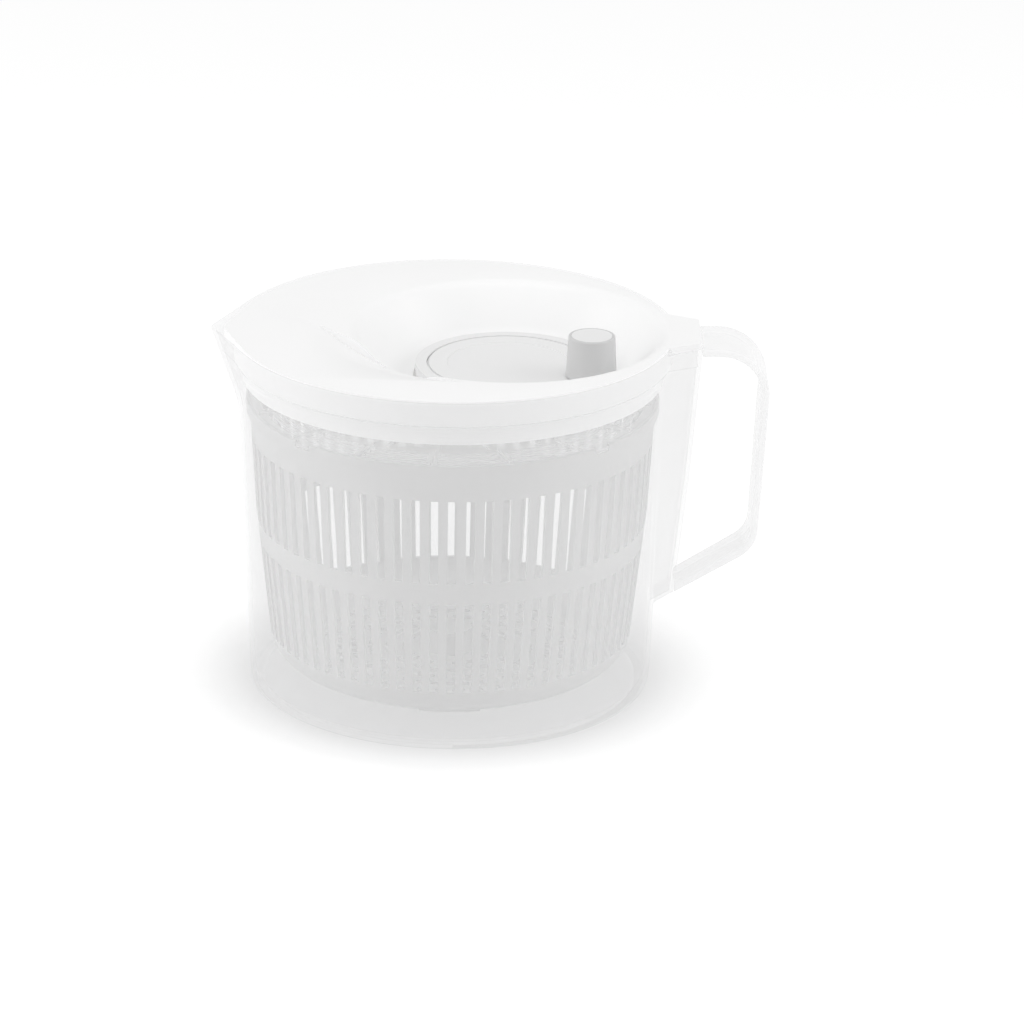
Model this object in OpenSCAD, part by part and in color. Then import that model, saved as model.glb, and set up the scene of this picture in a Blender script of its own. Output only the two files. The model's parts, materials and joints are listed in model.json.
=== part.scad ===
// Jug salad spinner: slotted basket on a pivot in a spouted jug, geared crank in the lid.
// Millimetres, +Z up, origin at the centre of the jug's base, +X towards the handle.

/* [Jug] */
// Height of the jug's rim, level with the lid
jug_h = 181; // [165:1:210]
// Outer radius of the wall at the base
base_r = 99.5; // [96:0.5:110]
// How far the wall leans outwards from the base to the lid's ledge
wall_lean = 6.5; // [4:0.5:12]
// Thickness of the jug's wall
jug_wall = 2; // [1.5:0.1:3]
// Thickness of the jug's floor
jug_floor = 3.5; // [2.5:0.1:5]
// Depth of the collar that takes the lid
collar_h = 12.5; // [8:0.5:18]
// How far the collar stands out from the wall
collar_step = 3.4; // [2.5:0.1:6]
// How far the spout reaches past the rim
spout_reach = 9.1; // [5:0.1:16]
// Height of the spout's slope
spout_h = 39; // [25:1:60]
// Radius of the spout's tip
spout_tip_r = 8.5; // [5:0.5:14]

/* [Handle] */
// How far the column stands out from the rim, at its top
column_reach = 11.6; // [8:0.1:18]
// Width of the column and of the strap at their top
column_w = 40; // [30:1:50]
// Width of the column and of the strap at their foot
column_foot_w = 22; // [16:1:30]
// Height of the column's foot over the base
column_foot_z = 41.8; // [30:0.1:60]
// Distance from the column to the outside of the strap
grip_reach = 33.2; // [30:0.1:45]
// Thickness of the strap
strap_t = 3.8; // [3:0.1:6]
// Slope of the strap's lower limb, in degrees
strap_slope = 31.5; // [20:0.5:40]

/* [Basket] */
// Depth of the basket's rim below the jug's rim
basket_drop = 34; // [30:0.5:50]
// Running gap between the basket's rim and the jug's wall
basket_gap = 1.9; // [1.5:0.1:5]
// Thickness of the basket's wall
basket_wall = 1.8; // [1.2:0.1:2.5]
// Number of upright slots in each row
slot_count = 72; // [48:2:96]
// Width of a slot
slot_w = 4.2; // [2.5:0.1:5]
// Height of the upper row of slots
upper_slot_h = 43; // [30:1:50]
// Height of the solid band between the two rows of slots
slot_band_h = 11; // [6:0.5:20]
// Number of radial ribs on the basket's cover
rib_count = 16; // [8:1:24]

/* [Lid] */
// Thickness of the lid's wall
lid_wall = 2.2; // [1.6:0.1:3]
// Gap between the lid and the jug's collar
lid_fit = 0.5; // [0.3:0.05:1]
// Depth of the crank's recess
well_depth = 23.5; // [22:0.5:25]
// Slope of the recess's wall, in degrees
dish_slope = 51; // [48:1:60]
// Least width of flat lid between the recess and the lid's edge
dish_rim_w = 0.3; // [0.1:0.1:4]
// Depth of the skirt below the collar's ledge
skirt_h = 10; // [6:0.5:14]
// Thickness of the lid's tab over the column
tab_t = 3; // [2:0.1:4]

/* [Crank] */
// Teeth of the internal ring gear
ring_teeth = 54; // [51:3:54]
// Teeth of the pinion
pinion_teeth = 18; // [15:1:18]
// Height of the crank disc over the recess's floor
crank_rise = 6.5; // [5.5:0.5:9]
// How far the knob's axis lies inside the disc's edge
knob_inset = 1; // [0:0.1:6]
// Direction of the knob at rest, in degrees from the handle
knob_angle = -26; // [-90:1:90]
// Height of the knob
knob_h = 20.6; // [16:0.1:30]
// Radius of the knob's top
knob_top_r = 11.4; // [9:0.1:12]
// Radius of the knob's foot
knob_foot_r = 12.4; // [10:0.1:12.8]

/* [Hidden] */
$fn = 96;

eps = 0.01;
gap = 0.3;             // between pieces that move past each other
bearing_gap = 0.05;    // radial play of a shaft in its hole

// Jug
ledge_z = jug_h - collar_h;
wall_top_r = base_r + wall_lean;
rim_r = wall_top_r + collar_step;
rim_wall = jug_wall;
rim_in_r = rim_r - rim_wall;
base_edge_r = 3;
foot_ring_w = 7;
foot_recess = 1.2;
pad_r = 26;
floor_fillet = 5;
boss_r = 9;
boss_h = 5.5;
spout_x = rim_r + spout_reach - spout_tip_r;
spout_foot_z = jug_h - spout_h;
spout_foot_r = 12;
spout_blend_r = 4;
spout_blend_angle = 23;

// Column and strap
column_x = rim_r + column_reach;
column_top_z = jug_h - tab_t - gap;
column_corner = 3;
column_taper = 0.45;
column_shoulder_x = rim_r - 9;
column_blend = 8;
column_mid_z = jug_h - 71;
column_mid_x = column_x - 4.5;
column_foot_x = column_x - 10.5;
column_root_x = wall_r(column_foot_z) - 1;
column_foot_edge_z = column_foot_z + (column_foot_x - column_root_x) * tan(strap_slope);
column_wall = 2;
strap_x = column_x + grip_reach;
strap_bend_r = 24;
strap_lower_bend_r = 18;
strap_lean = 2.6;

// Pivot
pin_r = 3;
pin_z = jug_floor + 1.5;
pin_top = jug_floor + 14.5;
cup_r = 6;
cup_z = jug_floor + boss_h + gap;
cup_h = 12;

// Basket
basket_top = jug_h - basket_drop;
basket_floor_z = jug_floor + 8;
basket_foot_h = 3;
basket_rim_r = wall_r(basket_top) - jug_wall - basket_gap;
basket_rim_h = 5.5;
basket_top_r = basket_rim_r - 1.9;
basket_neck_h = 13.5;
basket_mid_r = basket_top_r - 2.9;
basket_low_r = basket_mid_r - 6.5;
basket_corner_r = 17;
basket_foot_r = basket_low_r - basket_corner_r - 2;
upper_slot_z = basket_top - basket_rim_h - basket_neck_h - upper_slot_h;
lower_slot_z = basket_floor_z + basket_corner_r - 0.5;
lower_slot_h = upper_slot_z - slot_band_h - lower_slot_z;
basket_mid_z = upper_slot_z + 5;
slot_cut_r = basket_foot_r - 10;
hub_r = 10.5;
hub_h = 15;
floor_ring_w = 3.6;
floor_rings = 6;
floor_ring_first_r = 22;
floor_ring_step = (basket_foot_r - 6 - floor_ring_first_r) / (floor_rings - 1);
floor_holes_inner = 20;
floor_holes_outer = 40;
floor_bridge_w = 2.4;
cover_seat_z = basket_top - 2.8;
cover_seat_w = 2;

// Basket cover
cover_t = 1.6;
cover_r = basket_top_r - basket_wall + cover_seat_w - gap;
cover_slots = 3;
cover_slot_w = 2.8;
cover_slot_step = 5;
cover_slot_edge = 5;
cover_bridge_w = 5;
cover_slot_first_r = cover_r - cover_slot_edge - cover_slot_w - (cover_slots - 1) * cover_slot_step;
cover_step_r = cover_slot_first_r - 3.4;
cover_plate_r = cover_step_r - 4.5;
cover_rib_w = 1.3;
cover_rib_h = 1.2;
cover_rib_phase = -6;
cover_lugs = 4;
cover_lug_w = 9;
cover_lug_out = 1.6;
socket_r = 10.5;
socket_h = 11;
socket_floor_t = 2;

// Lid
lid_r = rim_in_r - lid_fit;
lid_spout_x = rim_r + 2.4;
lid_spout_tip_r = 16;
lid_bulge_h = 4.5;
lid_seat_z = ledge_z + gap;
lid_tab_gap = 0.4;
skirt_r = wall_r(ledge_z - skirt_h) - jug_wall - lid_fit;
skirt_t = 1.8;
skirt_z = ledge_z - skirt_h;
base_plate_z = skirt_z + 1.7;
base_plate_t = 1.8;
boss_screw_r = 3.8;
boss_ring_r = skirt_r - skirt_t - boss_screw_r - 4.5;
screw_angles = [60, 120, 180, 240, 300];
screw_shank_r = 1.3;
screw_len = 12;
screw_head_r = 3;
screw_head_h = 1.6;
well_z = jug_h - well_depth;
bowl_r = 14;
lip_r = 8;

// Gears and crank
pressure_angle = 20;
gear_play = 0.3;
gear_step = 0.05;
ring_back_t = 1.5;
crank_skirt_t = 1.625;
crank_play = 1;
well_floor_w = 3.5;
dish_run = (bowl_r + lip_r) * sin(dish_slope)
    + (well_depth - (bowl_r + lip_r) * (1 - cos(dish_slope))) / tan(dish_slope);
gear_room = lid_r - dish_rim_w - dish_run - well_floor_w - crank_play - crank_skirt_t - ring_back_t;
// The largest even module whose gears, crank and recess fit side by side in the lid
gear_module = gear_step * floor(gear_room / (ring_teeth - pinion_teeth / 2 + 1.25) / gear_step);
crank_x = gear_module * (ring_teeth - pinion_teeth) / 2;
ring_pitch_r = gear_module * ring_teeth / 2;
pinion_pitch_r = gear_module * pinion_teeth / 2;
ring_tip_r = ring_pitch_r - 0.9 * gear_module;
ring_root_r = ring_pitch_r + 1.25 * gear_module;
ring_out_r = ring_root_r + ring_back_t;
crank_r = ring_out_r + crank_skirt_t;
knob_arm = crank_r - knob_inset;
crank_top_z = well_z + crank_rise;
crank_web_t = 1.8;
insert_t = 1.6;
insert_r = crank_r - 5.5;
insert_step_r = insert_r - 10;
insert_step = 0.4;
insert_rim_w = 1.1;
insert_rim_h = 0.9;
web_z = crank_top_z - insert_t - crank_web_t;
crank_skirt_z = well_z + 1;
gear_h = 9.6;
gear_z = web_z - gear_h;
pocket_r = crank_r + crank_play;
well_r = pocket_r + well_floor_w;
bowl_z = well_z + bowl_r;
bowl_end = dish_slope - 90;
dish_r = well_r + dish_run;
leaf_shift = 15;
leaf_r = dish_r - 1.5;
leaf_slope = 20;
leaf_depth = 10;
leaf_wall_angle = -140.3;
leaf_wall_d = dish_r - 10.4;
pocket_floor_z = gear_z - 2;
pocket_floor_t = 2;
post_r = 5.6;
post_top_z = web_z - 1;
hub_wall = 2.6;
crank_hub_r = post_r + bearing_gap + hub_wall;
washer_t = 0.8;
washer_r = 7.6;
axle_r = 1.8;
axle_len = 11;
axle_head_r = 4.4;
axle_head_h = 1.2;
ear_r = knob_foot_r + 0.6;
knob_pin_r = 3;
knob_z = crank_top_z + 0.4;
knob_top_z = knob_z + knob_h;
knob_recess_r = knob_top_r - 1.4;
knob_recess_h = 5.6;
cap_t = 1.6;
knob_washer_r = 5;
knob_screw_len = 8;

// Pinion and shaft
pinion_h = gear_h - 0.8;
pinion_z = gear_z + 0.4;
pinion_sink_r = 5;
pinion_sink_h = 3;
hex_r = 4;
journal_r = 4.5;
bush_wall = 1.6;
bush_r = journal_r + bearing_gap + bush_wall;
bush_z = pocket_floor_z - pocket_floor_t - 3;
bush_boss_wall = 2;
dog_r = 6;
cover_plate_z = bush_z - 5.2;
socket_bottom_z = cover_plate_z - socket_h;
dog_z = socket_bottom_z + socket_floor_t + 1;

// Outer radius of the jug's wall at height z
function wall_r(z) = base_r + wall_lean * z / ledge_z;
// Outer radius of the recess's wall at height z
function dish_outer_r(z) =
    let (r = bowl_r + lid_wall, end_z = bowl_z + r * sin(bowl_end))
    well_r + (z < end_z ? sqrt(r * r - pow(bowl_z - z, 2))
        : r * cos(bowl_end) + (z - end_z) / tan(dish_slope));
// Points of an arc round c from angle a to angle b
function arc(c, r, a, b, n) =
    [for (i = [0:n]) c + r * [cos(a + (b - a) * i / n), sin(a + (b - a) * i / n)]];
// Unit vector at angle a
function unit(a) = [cos(a), sin(a)];
// Where two lines meet, each given by its normal's angle and its distance from the origin
function meet(a, p, b, q) =
    [p * sin(b) - q * sin(a), q * cos(a) - p * cos(b)] / sin(b - a);

// Half the angle of a tooth at radius r of a gear with pitch radius p and n teeth
function involute(a) = tan(a) * 180 / PI - a;
function tooth_half(r, p, n, play) =
    90 / n + involute(pressure_angle) - play / p * 90 / PI
    - involute(acos(min(1, p * cos(pressure_angle) / r)));
function tooth(p, n, root, tip, play, k) =
    let (start = max(root, p * cos(pressure_angle)), steps = 5, mid = 360 * k / n)
    concat(
        [root * unit(mid - tooth_half(start, p, n, play))],
        [for (i = [0:steps]) let (r = start + (tip - start) * i / steps)
            r * unit(mid - tooth_half(r, p, n, play))],
        [for (i = [steps:-1:0]) let (r = start + (tip - start) * i / steps)
            r * unit(mid + tooth_half(r, p, n, play))],
        [root * unit(mid + tooth_half(start, p, n, play))]
    );

module gear_outline(p, n, root, tip, play) {
    polygon([for (k = [0:n - 1]) each tooth(p, n, root, tip, play, k)]);
}

// Ring of bars, each w wide, from radius a to radius b
module spokes(n, w, a, b, phase = 0) {
    for (i = [0:n - 1])
        rotate(phase + 360 * i / n)
            translate([a, -w / 2])
                square([b - a, w]);
}

module ring(a, b) {
    difference() {
        circle(b);
        circle(a);
    }
}

// Star with n arms of width w between radii a and b, as one outline
module star(n, w, a, b) {
    polygon([for (i = [0:n - 1]) let (m = 360 * i / n, p = asin(w / 2 / a), q = asin(w / 2 / b))
        each [a * unit(m - p), b * unit(m - q), b * unit(m + q), a * unit(m + p)]]);
}

// Round outline of radius r with a rounded point that reaches x towards the spout
module egg(r, x, tip) {
    d = x - tip;
    a = acos((r - tip) / d);
    circle(r);
    translate([-d, 0])
        circle(tip);
    polygon([[0, 0], r * unit(180 - a), [-d, 0] + tip * unit(180 - a),
        [-d, 0] + tip * unit(180 + a), r * unit(180 + a)]);
}

// Plan of the tab over the column, shrunk by s
module tab_plan(s = 0) {
    w = column_w / 2 - s;
    x = column_x - s;
    v = w + column_taper * (x - column_shoulder_x);
    polygon(concat(
        [[column_shoulder_x - column_w, -v - column_w / 3], [column_shoulder_x, -v]],
        arc([x - column_corner, -w + column_corner], column_corner, -90, 0, 4),
        arc([x - column_corner, w - column_corner], column_corner, 0, 90, 4),
        [[column_shoulder_x, v], [column_shoulder_x - column_w, v + column_w / 3]]
    ));
}

// End of the tab's plan, from back millimetres behind the column's shoulder
module tab_end(s, back) {
    intersection() {
        tab_plan(s);
        translate([column_shoulder_x - back, -rim_r / 2])
            square([column_x, rim_r]);
    }
}

// ---------------------------------------------------------------- jug

module jug_outside() {
    rotate_extrude()
        polygon(concat(
            [[0, 0], [pad_r, 0], [pad_r + 1, foot_recess],
             [base_r - foot_ring_w - 1, foot_recess], [base_r - foot_ring_w, 0]],
            arc([base_r - base_edge_r, base_edge_r], base_edge_r, -90, 0, 6),
            [[wall_top_r, ledge_z - collar_step * 1.5], [rim_r - 0.8, ledge_z],
             [rim_r, jug_h - 0.8], [rim_r - 0.8, jug_h], [0, jug_h]]
        ));
}

module jug_cavity() {
    r = wall_r(jug_floor) - jug_wall;
    rotate_extrude()
        polygon(concat(
            [[0, jug_floor + boss_h], [boss_r, jug_floor + boss_h],
             [boss_r + 2, jug_floor]],
            arc([r - floor_fillet, jug_floor + floor_fillet], floor_fillet, -90, 0, 6),
            [[wall_top_r - jug_wall, ledge_z], [rim_in_r - 0.3, ledge_z],
             [rim_in_r, jug_h - 0.5], [rim_in_r + 0.5, jug_h + eps], [0, jug_h + eps]]
        ));
}

// Spout, shrunk by s for its hollow
module spout_form(s) {
    hull() {
        translate([-spout_x, 0, jug_h - eps])
            cylinder(h = eps, r = spout_tip_r - s, $fn = 32);
        for (a = [-1, 1])
            rotate(180 + a * spout_blend_angle)
                translate([rim_r - spout_blend_r, 0, jug_h - eps])
                    cylinder(h = eps, r = spout_blend_r - s, $fn = 32);
        translate([spout_foot_r - wall_r(spout_foot_z), 0, spout_foot_z])
            cylinder(h = eps, r = spout_foot_r - s, $fn = 32);
    }
}

// One level of the column: rounded outer corners at x, w wide, sides tapered
module column_level(x, w, z, s) {
    v = w / 2 - s + column_taper * (x - column_shoulder_x + column_blend);
    translate([0, 0, z])
        linear_extrude(eps)
            polygon(concat(
                [[column_shoulder_x - column_blend, -v]],
                arc([x - s - column_corner, -w / 2 + s + column_corner], column_corner, -90, 0, 4),
                arc([x - s - column_corner, w / 2 - s - column_corner], column_corner, 0, 90, 4),
                [[column_shoulder_x - column_blend, v]]
            ));
}

// Column, shrunk by s for its hollow
module column_form(s) {
    mid_w = column_w * 0.3 + column_foot_w * 0.7;
    hull() {
        column_level(column_x, column_w, column_top_z - eps, s);
        column_level(column_mid_x, mid_w, column_mid_z, s);
    }
    hull() {
        column_level(column_mid_x, mid_w, column_mid_z, s);
        column_level(column_foot_x, column_foot_w, column_foot_edge_z + s, s);
        column_level(column_root_x, column_foot_w, column_foot_z + s, s);
    }
}

module jug() {
    color([0.93, 0.94, 0.95, 0.45])
        difference() {
            union() {
                jug_outside();
                spout_form(0);
                column_form(0);
            }
            jug_cavity();
            spout_form(jug_wall);
            translate([0, 0, eps * 3])
                column_form(column_wall);
            translate([0, 0, column_top_z])
                linear_extrude(tab_t * 2)
                    tab_end(-lid_tab_gap, 25);
            translate([0, 0, pin_z])
                cylinder(h = boss_h + jug_floor, r = pin_r);
        }
}

// ---------------------------------------------------------------- handle

module strap_outline() {
    upper_c = [strap_x - strap_bend_r, column_top_z - strap_bend_r];
    limb_d = upper_c * unit(-strap_lean) + strap_bend_r;
    low = strap_slope - 90;
    root = [column_root_x, column_foot_z];
    low_d = root * unit(low);
    lower_c = meet(-strap_lean, limb_d - strap_lower_bend_r, low, low_d - strap_lower_bend_r);
    top = [column_mid_x - 6, column_top_z];
    bottom = root + [0.2, 0.2 * tan(strap_slope)];
    inner_bottom = bottom + strap_t * unit(low + 180);
    polygon(concat(
        [top],
        arc(upper_c, strap_bend_r, 90, -strap_lean, 12),
        arc(lower_c, strap_lower_bend_r, -strap_lean, low, 8),
        [bottom, inner_bottom],
        arc(lower_c, strap_lower_bend_r - strap_t, low, -strap_lean, 8),
        arc(upper_c, strap_bend_r - strap_t, -strap_lean, 90, 12),
        [top - [0, strap_t]]
    ));
}

module handle() {
    color([0.93, 0.94, 0.95, 0.6])
        intersection() {
            rotate([90, 0, 0])
                linear_extrude(column_w, center = true)
                    difference() {
                        strap_outline();
                        polygon([[column_root_x - 20, column_foot_z - 20], [column_foot_x, column_foot_z - 20],
                            [column_foot_x, column_foot_edge_z], [column_mid_x, column_mid_z],
                            [column_x, column_top_z], [column_x, column_top_z + 1],
                            [column_root_x - 20, column_top_z + 1]]);
                    }
            rotate([90, 0, 90])
                linear_extrude(strap_x + 5)
                    polygon([[-column_w / 2 + 1, jug_h], [-column_foot_w / 2, column_foot_z - 5],
                        [column_foot_w / 2, column_foot_z - 5], [column_w / 2 - 1, jug_h]]);
        }
}

// ---------------------------------------------------------------- pivot

module pivot_pin() {
    color("silver")
        rotate_extrude()
            polygon(concat(
                [[0, pin_z], [pin_r, pin_z]],
                arc([0, pin_top - pin_r], pin_r, 0, 90, 8)
            ));
}

module pivot_cup() {
    color("gainsboro")
        difference() {
            translate([0, 0, cup_z])
                cylinder(h = cup_h, r = cup_r);
            translate([0, 0, cup_z - 1])
                cylinder(h = pin_top - cup_z + 1 + gap / 2, r = pin_r + bearing_gap);
        }
}

// ---------------------------------------------------------------- basket

module basket_shell() {
    corner = [basket_low_r - basket_corner_r, basket_floor_z + basket_corner_r];
    seat_r = cover_r + gap;
    rotate_extrude()
        polygon(concat(
            [[hub_r, basket_floor_z]],
            arc(corner, basket_corner_r, -90, 0, 8),
            [[basket_mid_r, basket_mid_z], [basket_top_r, basket_top - basket_rim_h],
             [basket_rim_r, basket_top - basket_rim_h], [basket_rim_r, basket_top - 0.5],
             [basket_rim_r - 0.5, basket_top], [seat_r, basket_top], [seat_r, cover_seat_z - gap],
             [seat_r - cover_seat_w, cover_seat_z - gap],
             [basket_mid_r - basket_wall, basket_mid_z]],
            arc(corner, basket_corner_r - basket_wall, 0, -90, 8),
            [[hub_r, basket_floor_z + basket_wall]]
        ));
}

module basket_hub() {
    rotate_extrude()
        polygon([[cup_r + bearing_gap * 2, cup_z + 1], [hub_r, cup_z + 1],
            [hub_r + 2, basket_floor_z + 1], [hub_r, cup_z + hub_h],
            [0, cup_z + hub_h], [0, cup_z + cup_h + gap], [cup_r + bearing_gap * 2, cup_z + cup_h + gap]]);
}

module floor_holes() {
    for (i = [0:floor_rings - 1]) {
        r = floor_ring_first_r + floor_ring_step * i;
        n = i < 2 ? floor_holes_inner : floor_holes_outer;
        difference() {
            ring(r - floor_ring_w / 2, r + floor_ring_w / 2);
            spokes(n, floor_bridge_w, r - floor_ring_w, r + floor_ring_w, i * 180 / n);
        }
    }
}

module basket() {
    color("gainsboro")
        difference() {
            union() {
                basket_shell();
                basket_hub();
                for (i = [0:5])
                    rotate(60 * i + 18)
                        rotate_extrude(angle = 24)
                            translate([basket_foot_r - 1, basket_floor_z - basket_foot_h])
                                square([2, basket_foot_h + 0.5]);
            }
            translate([0, 0, upper_slot_z])
                linear_extrude(upper_slot_h)
                    star(slot_count, slot_w, slot_cut_r, rim_r);
            translate([0, 0, lower_slot_z])
                linear_extrude(lower_slot_h)
                    star(slot_count, slot_w, slot_cut_r, rim_r);
            translate([0, 0, basket_floor_z - 1])
                linear_extrude(basket_wall + 3)
                    floor_holes();
            translate([0, 0, cover_seat_z - gap])
                linear_extrude(basket_top)
                    intersection() {
                        ring(cover_r - 1, cover_r + cover_lug_out + gap * 2);
                        spokes(cover_lugs, cover_lug_w + gap * 2, cover_step_r, rim_r, 45);
                    }
        }
}

module cover_slots() {
    for (i = [0:cover_slots - 1]) {
        r = cover_slot_first_r + cover_slot_step * i;
        difference() {
            ring(r, r + cover_slot_w);
            spokes(rib_count, cover_bridge_w, r - cover_slot_w, r + 2 * cover_slot_w, cover_rib_phase);
        }
    }
}

module basket_cover() {
    color("gainsboro")
        difference() {
            union() {
                rotate_extrude()
                    polygon([[0, cover_plate_z], [cover_plate_r + 0.8, cover_plate_z],
                        [cover_step_r + 0.8, cover_seat_z], [cover_r, cover_seat_z],
                        [cover_r, cover_seat_z + cover_t], [cover_step_r, cover_seat_z + cover_t],
                        [cover_plate_r, cover_plate_z + cover_t], [0, cover_plate_z + cover_t]]);
                translate([0, 0, cover_seat_z])
                    linear_extrude(cover_t)
                        intersection() {
                            circle(cover_r + cover_lug_out);
                            spokes(cover_lugs, cover_lug_w, cover_step_r, rim_r, 45);
                        }
                translate([0, 0, cover_seat_z])
                    linear_extrude(cover_t + cover_rib_h)
                        spokes(rib_count, cover_rib_w, cover_step_r, cover_r - 1.5, cover_rib_phase);
                translate([0, 0, cover_plate_z])
                    linear_extrude(cover_t + cover_rib_h)
                        spokes(rib_count, cover_rib_w, socket_r - 1, cover_plate_r - 0.5, cover_rib_phase);
                translate([0, 0, socket_bottom_z])
                    cylinder(h = cover_plate_z - socket_bottom_z + 1, r = socket_r);
            }
            translate([0, 0, cover_seat_z - 1])
                linear_extrude(cover_t + 2)
                    cover_slots();
            translate([0, 0, socket_bottom_z + socket_floor_t])
                cylinder(h = jug_h, r = dog_r + 0.4, $fn = 6);
        }
}

// ---------------------------------------------------------------- lid

// Half section of the crank's recess and gear pocket, grown by t
module well_section(t) {
    floor_z = pocket_floor_z - (t > 0 ? pocket_floor_t : 0);
    top_z = jug_h + (t > 0 ? 0 : 1);
    polygon(concat(
        [[0, floor_z], [pocket_r + t, floor_z], [pocket_r + t, well_z - t]],
        arc([well_r, bowl_z], bowl_r + t, -90, bowl_end, 8),
        arc([dish_r, jug_h - lip_r], lip_r - t, 90 + dish_slope, 90, 5),
        [[dish_r, top_z], [0, top_z]]
    ));
}

module well(t) {
    translate([crank_x, 0, 0])
        rotate_extrude()
            well_section(t);
}

// Leaf-shaped groove: a flat cone beside the recess, ended by a straight upright wall, grown by t
module leaf(t) {
    drop = leaf_depth / tan(leaf_slope);
    low = jug_h - leaf_depth - t / cos(leaf_slope);
    top_r = leaf_r + t * tan(leaf_slope / 2);
    intersection() {
        translate([crank_x - leaf_shift, 0, 0])
            rotate_extrude()
                polygon([[0, low], [leaf_r - drop + t * tan(leaf_slope / 2), low],
                    [top_r, jug_h - t], [top_r, jug_h + (t > 0 ? -t / 2 : 1)],
                    [0, jug_h + (t > 0 ? -t / 2 : 1)]]);
        translate([crank_x, 0, 0])
            rotate(leaf_wall_angle)
                translate([leaf_wall_d - t, -rim_r, 0])
                    cube([rim_r, 2 * rim_r, jug_h + 2]);
    }
}

module lid_plan(s) {
    egg(lid_r - s, lid_spout_x - s, lid_spout_tip_r - s);
}

module lid_top() {
    color([0.97, 0.97, 0.97])
        difference() {
            union() {
                translate([0, 0, jug_h - lid_wall])
                    linear_extrude(lid_wall)
                        lid_plan(0);
                translate([0, 0, jug_h - tab_t])
                    linear_extrude(tab_t)
                        tab_end(lid_tab_gap, 20);
                translate([0, 0, jug_h - lid_bulge_h])
                    linear_extrude(lid_bulge_h - 1)
                        difference() {
                            lid_plan(0);
                            lid_plan(lid_wall);
                        }
                translate([0, 0, lid_seat_z])
                    linear_extrude(jug_h - lid_seat_z - 1)
                        ring(lid_r - lid_wall, lid_r);
                well(lid_wall);
                for (a = screw_angles)
                    rotate(a)
                        translate([boss_ring_r, 0, base_plate_z + base_plate_t])
                            cylinder(h = jug_h - base_plate_z - base_plate_t - 1, r = boss_screw_r);
                translate([0, 0, bush_z])
                    cylinder(h = pocket_floor_z - bush_z, r = bush_r + bush_boss_wall);
                leaf(lid_wall);
            }
            difference() {
                well(0);
                translate([crank_x, 0, pocket_floor_z - 1])
                    cylinder(h = post_top_z - pocket_floor_z + 1, r = post_r);
            }
            leaf(0);
            for (a = screw_angles)
                rotate(a)
                    translate([boss_ring_r, 0, base_plate_z])
                        cylinder(h = screw_len, r = screw_shank_r);
            translate([0, 0, bush_z - 1])
                cylinder(h = jug_h, r = bush_r);
            translate([crank_x, 0, post_top_z - axle_len])
                cylinder(h = axle_len + 1, r = axle_r);
        }
}

module lid_base() {
    color([0.95, 0.95, 0.95])
        difference() {
            union() {
                translate([0, 0, base_plate_z])
                    cylinder(h = base_plate_t, r = skirt_r);
                translate([0, 0, skirt_z])
                    linear_extrude(ledge_z - skirt_z - 1.5)
                        ring(skirt_r - skirt_t, skirt_r);
            }
            translate([crank_x, 0, skirt_z - 1])
                cylinder(h = jug_h, r = dish_outer_r(base_plate_z + base_plate_t) + gap);
            for (a = screw_angles)
                rotate(a)
                    translate([boss_ring_r, 0, base_plate_z - 1])
                        cylinder(h = screw_len, r = screw_shank_r);
        }
}

// Pan-head screw pointing up, its head's underside at the origin
module pan_screw(head_r, head_h, shank_r, length) {
    translate([0, 0, -head_h])
        cylinder(h = head_h, r = head_r);
    cylinder(h = length, r = shank_r);
}

module lid_screws() {
    color("silver")
        for (a = screw_angles)
            rotate(a)
                translate([boss_ring_r, 0, base_plate_z])
                    pan_screw(screw_head_r, screw_head_h, screw_shank_r, screw_len);
}

// ---------------------------------------------------------------- drive

module shaft_bush() {
    color("white")
        difference() {
            translate([0, 0, bush_z])
                cylinder(h = pocket_floor_z - bush_z, r = bush_r);
            translate([0, 0, bush_z - 1])
                cylinder(h = jug_h, r = journal_r + bearing_gap);
        }
}

module drive_shaft() {
    color("silver")
        difference() {
            union() {
                translate([0, 0, dog_z])
                    cylinder(h = bush_z - gap - dog_z, r = dog_r, $fn = 6);
                translate([0, 0, bush_z - gap - eps])
                    cylinder(h = pinion_z - bush_z + gap + eps, r = journal_r);
                translate([0, 0, pinion_z - eps])
                    cylinder(h = pinion_h - pinion_sink_h + eps, r = hex_r, $fn = 6);
            }
            translate([0, 0, pinion_z + pinion_h - pinion_sink_h - screw_len / 2])
                cylinder(h = screw_len, r = screw_shank_r);
        }
}

module pinion() {
    color("white")
        difference() {
            translate([0, 0, pinion_z])
                linear_extrude(pinion_h)
                    gear_outline(pinion_pitch_r, pinion_teeth,
                        pinion_pitch_r - 1.25 * gear_module, pinion_pitch_r + gear_module, gear_play);
            translate([0, 0, pinion_z - 1])
                cylinder(h = pinion_h + 2, r = hex_r, $fn = 6);
            translate([0, 0, pinion_z + pinion_h - pinion_sink_h])
                cylinder(h = pinion_sink_h + 1, r = pinion_sink_r);
        }
}

module pinion_screw() {
    color("silver")
        translate([0, 0, pinion_z + pinion_h - pinion_sink_h])
            mirror([0, 0, 1])
                pan_screw(pinion_sink_r - 0.4, screw_head_h, screw_shank_r, screw_len / 2);
}

module ring_gear() {
    color("white")
        translate([crank_x, 0, gear_z])
            linear_extrude(gear_h)
                difference() {
                    circle(ring_out_r);
                    rotate(180)
                        gear_outline(ring_pitch_r, ring_teeth, ring_tip_r, ring_root_r, 0);
                }
}

// ---------------------------------------------------------------- crank

module at_crank() {
    translate([crank_x, 0, 0])
        rotate(knob_angle)
            children();
}

module at_knob() {
    at_crank()
        translate([knob_arm, 0, 0])
            children();
}

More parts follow.
